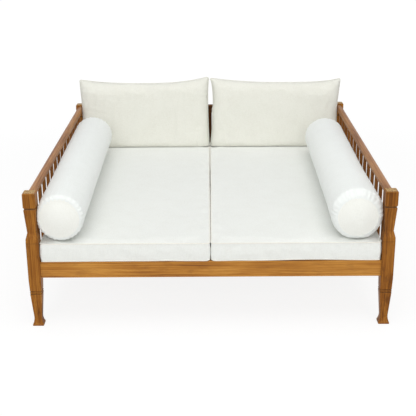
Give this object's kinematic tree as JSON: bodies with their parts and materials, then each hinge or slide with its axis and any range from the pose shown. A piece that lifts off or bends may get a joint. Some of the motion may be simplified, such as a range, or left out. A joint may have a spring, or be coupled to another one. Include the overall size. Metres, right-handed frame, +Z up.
{
  "type": "outdoor daybed",
  "caption": "Square slatted timber daybed with carved posts, box seat cushions, knife-edge back pillows and arm bolsters that lift off.",
  "frame": {"origin": "middle of the footprint on the floor", "axes": "+X to the right as seen from the open front, +Y towards the back rail, +Z up"},
  "size_m": [1.63, 1.73, 0.7978],
  "materials": {
    "oiled_wood": "oiled satin",
    "deck_wood": "planed, lightly oiled",
    "cushion_fabric": "woven outdoor cloth",
    "filling": "foam and fibre",
    "zip_tape": "woven tape",
    "zip_metal": "nickel plated",
    "steel": "plain stainless"
  },
  "bodies": {
    "frame": {"back_seat_rail": "oiled_wood", "back_slats": "oiled_wood", "back_top_rail": "oiled_wood", "centre_beam": "deck_wood", "corner_block_screws": "steel", "front_seat_rail": "oiled_wood", "hanger_bolts": "steel", "hanger_nuts": "steel", "hanger_washers": "steel", "ledger_screws": "steel", "left_arm_rail": "oiled_wood", "left_arm_slats": "oiled_wood", "left_back_corner_block": "deck_wood", "left_back_post": "oiled_wood", "left_front_corner_block": "deck_wood", "left_front_post": "oiled_wood", "left_seat_rail": "oiled_wood", "left_slat_ledger": "deck_wood", "right_arm_rail": "oiled_wood", "right_arm_slats": "oiled_wood", "right_back_corner_block": "deck_wood", "right_back_post": "oiled_wood", "right_front_corner_block": "deck_wood", "right_front_post": "oiled_wood", "right_seat_rail": "oiled_wood", "right_slat_ledger": "deck_wood", "seat_slat_01": "deck_wood", "seat_slat_02": "deck_wood", "seat_slat_03": "deck_wood", "seat_slat_04": "deck_wood", "seat_slat_05": "deck_wood", "seat_slat_06": "deck_wood", "seat_slat_07": "deck_wood", "seat_slat_08": "deck_wood", "seat_slat_09": "deck_wood", "seat_slat_10": "deck_wood", "seat_slat_11": "deck_wood", "seat_slat_12": "deck_wood", "seat_slat_13": "deck_wood", "seat_slat_14": "deck_wood", "seat_slat_screws": "steel"},
    "left_seat_cushion": {"left_seat_cushion_cover": "cushion_fabric", "left_seat_cushion_foam": "filling", "left_seat_zip": "zip_tape"},
    "left_zip_slider": {"left_zip_slider": "zip_metal"},
    "left_bolster": {"left_bolster_cover": "cushion_fabric", "left_bolster_fill": "filling"},
    "left_back_pillow": {"left_back_pillow_cover": "cushion_fabric", "left_back_pillow_fill": "filling"},
    "right_seat_cushion": {"right_seat_cushion_cover": "cushion_fabric", "right_seat_cushion_foam": "filling", "right_seat_zip": "zip_tape"},
    "right_zip_slider": {"right_zip_slider": "zip_metal"},
    "right_bolster": {"right_bolster_cover": "cushion_fabric", "right_bolster_fill": "filling"},
    "right_back_pillow": {"right_back_pillow_cover": "cushion_fabric", "right_back_pillow_fill": "filling"}
  },
  "joints": [
    {"name": "left_seat_cushion_lift", "type": "slide", "parent": "frame", "child": "left_seat_cushion", "axis": [0, 0, 1], "range_m": [0, 0.36]},
    {"name": "left_bolster_lift", "type": "slide", "parent": "left_seat_cushion", "child": "left_bolster", "axis": [0, 0, 1], "range_m": [0, 0.26]},
    {"name": "left_back_pillow_lift", "type": "slide", "parent": "left_seat_cushion", "child": "left_back_pillow", "axis": [0, 0, 1], "range_m": [0, 0.26]},
    {"name": "left_zip_slide", "type": "slide", "parent": "left_seat_cushion", "child": "left_zip_slider", "axis": [1, 0, 0], "range_m": [0, 0.588]},
    {"name": "right_seat_cushion_lift", "type": "slide", "parent": "frame", "child": "right_seat_cushion", "axis": [0, 0, 1], "range_m": [0, 0.36]},
    {"name": "right_bolster_lift", "type": "slide", "parent": "right_seat_cushion", "child": "right_bolster", "axis": [0, 0, 1], "range_m": [0, 0.26]},
    {"name": "right_back_pillow_lift", "type": "slide", "parent": "right_seat_cushion", "child": "right_back_pillow", "axis": [0, 0, 1], "range_m": [0, 0.26]},
    {"name": "right_zip_slide", "type": "slide", "parent": "right_seat_cushion", "child": "right_zip_slider", "axis": [-1, 0, 0], "range_m": [0, 0.588]}
  ]
}
